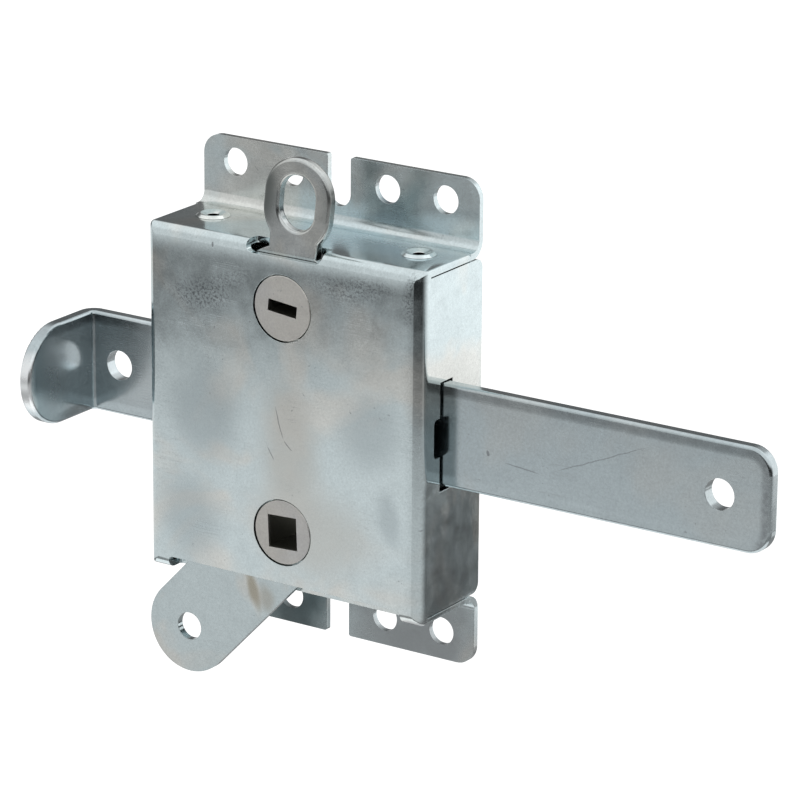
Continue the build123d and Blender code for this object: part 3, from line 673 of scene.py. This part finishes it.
def zinc(name, cool=ZINC_COOL, warm=ZINC_WARM, warm_share=0.5, level=1.0, rough=0.12,
         cloud_scale=CLOUD_SCALE, wave=0.030, bevel=0.2, flecks=0.5, patches=(), scratches=(),
         form=None, painted_shade=None, painted_shade_color=ZINC_DARK, rough_form=None):
    """Plated steel with cool and warm clouds, mottle, fine grain, scratches, stain marks and patches
    of painted light.

    wave is the height of its waves and bevel the radius of its softened edges, in millimetres.
    form gives the height of soft forms, and a given mask of painted shade lays its colour and some
    roughness. rough_form gives an extra roughness. flecks is the share of small dark marks."""
    material, tree, output = new_material(name)
    place = object_place(tree)
    textures = (noise(tree, place, cloud_scale, detail=3.0, rough=0.55, distortion=0.6),
                noise(tree, place, MOTTLE_SCALE, detail=5.0, rough=0.62, distortion=0.3),
                noise(tree, place, GRAIN_SCALE, detail=3.0, rough=0.7))
    color = plate_color(tree, textures, cool, warm, warm_share, level)
    patch_mask = None
    # Painted shade, where a mask of it is given
    if painted_shade is not None:
        patch_mask = painted_shade(tree, place)
        color = mix_colors(tree, patch_mask, color, (*painted_shade_color, 1))
    color, patch_mask, pitted = add_patches(tree, place, color, patch_mask, patches)
    color, scored = add_scratches(tree, place, color, scratches)
    color = mix_colors(tree, flecks_mask(tree, place, flecks), color, (*ZINC_DARK, 1))
    fine = hair_lines(tree, place)
    color = mix_colors(tree, times(tree, fine, HAIR_PALE), color, (*ZINC_PALE, 1))
    gloss = plate_gloss(tree, textures, rough, fine, patch_mask)
    if rough_form is not None:
        gloss = plus(tree, gloss, rough_form(tree, place))
    gloss = larger(tree, gloss, ROUGH_LEAST)
    normal = add_node(tree, "ShaderNodeBevel", {"Radius": bevel * MM}, samples=BEVEL_SAMPLES).outputs[0]
    if form is not None:
        formed = add_node(tree, "ShaderNodeBump",
                          {"Height": form(tree, place), "Distance": 1.0, "Normal": normal})
        normal = formed.outputs[0]
    height = plate_height(tree, place, textures, fine, scored, pitted)
    bump = add_node(tree, "ShaderNodeBump",
                    {"Height": height, "Distance": wave * MM, "Normal": normal})
    link_metal(tree, output, color, gloss, bump)
    return material


def spring_blue(name):
    """Blued spring steel: dark blue-grey with straw patches and a fine grain along the strip."""
    material, tree, output = new_material(name)
    place = object_place(tree)
    clouds = noise(tree, place, SPRING_PATCH_SCALE, detail=3.0)
    grain = noise(tree, stretched(tree, place, SPRING_GRAIN_SCALE), 1.0, detail=3.0)
    straw = spread(tree, clouds, *SPRING_STRAW_SPAN)
    color = mix_colors(tree, straw, (*SPRING_BLUE, 1), (*SPRING_STRAW, 1))
    gloss = plus(tree, times(tree, grain, SPRING_ROUGH_GRAIN), SPRING_ROUGH)
    bump = add_node(tree, "ShaderNodeBump", {"Height": grain, "Distance": SPRING_GRAIN_HEIGHT * MM})
    link_metal(tree, output, color, gloss, bump)
    return material


def dress(node, material):
    """Gives a CAD node one material."""
    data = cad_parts[node].data
    data.materials.clear()
    data.materials.append(material)


def dress_nodes():
    """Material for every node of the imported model."""
    # The case carries painted shade on its bottom bend and lower tab, and a partly painted sheen on top
    case_zinc = zinc("case_zinc", level=1.17, wave=0.045, bevel=0.12, patches=CASE_STAINS_AND_PAINTED_LIGHT,
                     scratches=CASE_SCRATCHES, form=case_form, rough_form=case_dull)
    plate_zinc = zinc("plate_zinc", warm_share=0.4, level=0.9, rough=0.25)
    # The bolt carries painted shade along its bar's end and top, and painted light on its tab and bar
    bolt_zinc = zinc("bolt_zinc", cool=BOLT_COOL, warm=BOLT_WARM, warm_share=0.3, rough=0.18,
                     cloud_scale=26.0, patches=BOLT_PAINTED_LIGHT, scratches=BOLT_SCRATCHES,
                     form=bolt_form, painted_shade=bolt_painted_shade_mask)
    lever_zinc = zinc("lever_zinc", warm_share=0.35, rough=0.15, cloud_scale=48.0, flecks=0.8,
                      patches=LEVER_STAINS)
    # The ring carries painted shade on its face
    ring_zinc = zinc("ring_zinc", cool=RING_COOL, warm_share=0.7, level=1.02, rough=0.20,
                     cloud_scale=60.0, patches=RING_PAINTED_SHADE_PATCHES)
    # The hubs carry painted shade inside their sockets
    hub_satin = zinc("hub_satin", cool=HUB_COOL, warm=HUB_WARM, warm_share=0.9, level=1.16,
                     rough=0.33, wave=0.015, bevel=0.12, painted_shade=socket_painted_shade_mask, painted_shade_color=SOCKET_PAINTED_SHADE)
    # The rivets carry painted shade in their bores and over the lower crowns
    rivet_zinc = zinc("rivet_zinc", level=1.35, wave=0.02, bevel=0.15, patches=RIVET_PAINTED_SHADE_PATCHES,
                      painted_shade=bore_painted_shade_mask, painted_shade_color=BORE_PAINTED_SHADE)
    works_steel = zinc("works_steel", cool=STEEL_COOL, warm=STEEL_WARM, rough=0.30)
    materials = {
        "case": case_zinc, "back_plate": plate_zinc, "case_rivets": rivet_zinc,
        "bolt": bolt_zinc, "release_lever": lever_zinc, "ring_lever": ring_zinc,
        "drive_hub": hub_satin, "key_hub": hub_satin, "bolt_spring": spring_blue("spring_steel"),
    }
    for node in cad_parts:
        dress(node, materials.get(node, works_steel))


def seen_rays(tree):
    """1 for rays that see the background: straight, or by way of metal or glass."""
    path = add_node(tree, "ShaderNodeLightPath")
    seen = plus(tree, path.outputs["Is Camera Ray"], path.outputs["Is Glossy Ray"])
    return maths(tree, "ADD", seen, path.outputs["Is Transmission Ray"], clamp=True)


def make_world():
    """White background, and a softer even light on whatever is lit by it."""
    world = bpy.data.worlds.new("studio")
    world.use_nodes = True
    tree = world.node_tree
    tree.nodes.clear()
    strength = plus(tree, times(tree, seen_rays(tree), 1.0 - WORLD_LIGHT), WORLD_LIGHT)
    back = add_node(tree, "ShaderNodeBackground", {"Color": (1, 1, 1, 1), "Strength": strength})
    output = tree.nodes.new("ShaderNodeOutputWorld")
    tree.links.new(back.outputs[0], output.inputs["Surface"])
    bpy.context.scene.world = world


def new_object(name, vertices, faces):
    """Mesh object from arrays of vertices and faces."""
    data = bpy.data.meshes.new(name)
    data.from_pydata(vertices.tolist(), [], faces.tolist())
    made = bpy.data.objects.new(name, data)
    bpy.context.scene.collection.objects.link(made)
    return made


def grid_faces(rows, columns):
    """Quads of a grid of rows by columns of points."""
    start = np.arange(rows - 1)[:, None] * columns + np.arange(columns - 1)[None, :]
    corners = (start, start + 1, start + columns + 1, start + columns)
    return np.stack(corners, axis=-1).reshape(-1, 4)


def make_floor():
    """Flat pale floor, lifted to white where nothing shades it."""
    half = FLOOR_SIZE / 2
    corners = np.array(((-half, -half), (half, -half), (-half, half), (half, half)))
    vertices = np.column_stack((corners, np.full(len(corners), FLOOR_LEVEL)))
    floor = new_object("floor", vertices, grid_faces(2, 2))
    material, tree, output = new_material("floor")
    surface = add_node(tree, "ShaderNodeBsdfDiffuse", {"Color": (*FLOOR_COLOR, 1)})
    lift = times(tree, seen_rays(tree), FLOOR_LIFT)
    glow = add_node(tree, "ShaderNodeEmission", {"Color": (1, 1, 1, 1), "Strength": lift})
    both = add_node(tree, "ShaderNodeAddShader", {0: surface.outputs[0], 1: glow.outputs[0]})
    tree.links.new(both.outputs[0], output.inputs["Surface"])
    floor.data.materials.append(material)


def stepped(tree, angle, level, steps):
    """Level that changes at each step, from the angle where it starts to the one where it is done."""
    for start, done, next_level in steps:
        level = blend(tree, spread(tree, angle, start, done), level, next_level)
    return level


def dome_light(tree):
    """Light of the studio by direction: a floor, a dark room above it and soft boxes.

    The azimuth runs from the front (-Y) towards +X, and both angles are in degrees."""
    right, back, up = split_place(tree, object_place(tree))
    azimuth = maths(tree, "ARCTAN2", right, times(tree, back, -1.0))
    azimuth = maths(tree, "DEGREES", azimuth)
    elevation = maths(tree, "ARCSINE", maths(tree, "DIVIDE", up, DOME_RADIUS))
    elevation = maths(tree, "DEGREES", elevation)
    front_light = stepped(tree, elevation, FLOOR_GLOW, FRONT_STEPS)
    side_light = stepped(tree, elevation, SIDE_GLOW, SIDE_STEPS)
    rear_light = stepped(tree, elevation, REAR_DARK, REAR_STEPS)
    rear_light = stepped(tree, azimuth, rear_light, ((*REAR_TO_END, END_GLOW),))
    back_light = stepped(tree, elevation, FLOOR_GLOW, BACK_STEPS)
    light = stepped(tree, azimuth, front_light,
                    ((*FRONT_TO_SIDE, side_light), (*SIDE_TO_REAR, rear_light),
                     (*REAR_TO_BACK, back_light), (*FRONT_TO_BACK, back_light)))
    return stepped(tree, elevation, light, ((*SHADE_ELEVATIONS, FLOOR_SHADE),))


def make_dome():
    """Sphere round the object that only reflections see, which gives the metal its tones.

    A point is at the radius times (sin a cos e, -cos a cos e, sin e)."""
    a, e = np.meshgrid(np.radians(np.linspace(-180, 180, DOME_STEPS)),
                       np.radians(np.linspace(DOME_LOW, DOME_TOP, DOME_STEPS)), indexing="ij")
    points = np.stack((np.sin(a) * np.cos(e), -np.cos(a) * np.cos(e), np.sin(e)), axis=-1) * DOME_RADIUS
    dome = new_object("studio_dome", points.reshape(-1, 3), grid_faces(DOME_STEPS, DOME_STEPS))
    material, tree, output = new_material("studio_dome")
    glow = add_node(tree, "ShaderNodeEmission", {"Color": (1, 1, 1, 1), "Strength": dome_light(tree)})
    tree.links.new(glow.outputs[0], output.inputs["Surface"])
    dome.data.materials.append(material)
    dome.visible_camera = False
    dome.visible_diffuse = False
    dome.visible_shadow = False
    dome.visible_transmission = False


def make_lamp(name, azimuth, elevation, power):
    """Square soft lamp that looks at the object and isn't seen in reflections."""
    data = bpy.data.lights.new(name, "AREA")
    data.size = LAMP_SIZE
    data.energy = power
    lamp = bpy.data.objects.new(name, data)
    lamp.visible_glossy = False
    a = math.radians(azimuth)
    e = math.radians(elevation)
    direction = Vector((math.sin(a) * math.cos(e), -math.cos(a) * math.cos(e), math.sin(e)))
    place = direction * LAMP_DISTANCE
    lamp.matrix_world = Matrix.Translation(place) @ place.to_track_quat("Z", "Y").to_matrix().to_4x4()
    bpy.context.scene.collection.objects.link(lamp)


def make_studio():
    """World, floor, lamps and the sphere that the metal reflects."""
    make_world()
    make_floor()
    make_dome()
    for name, azimuth, elevation, power in LAMPS:
        make_lamp(name, azimuth, elevation, power)


make_camera()
make_studio()
dress_nodes()
bpy.context.scene.view_settings.view_transform = "Standard"
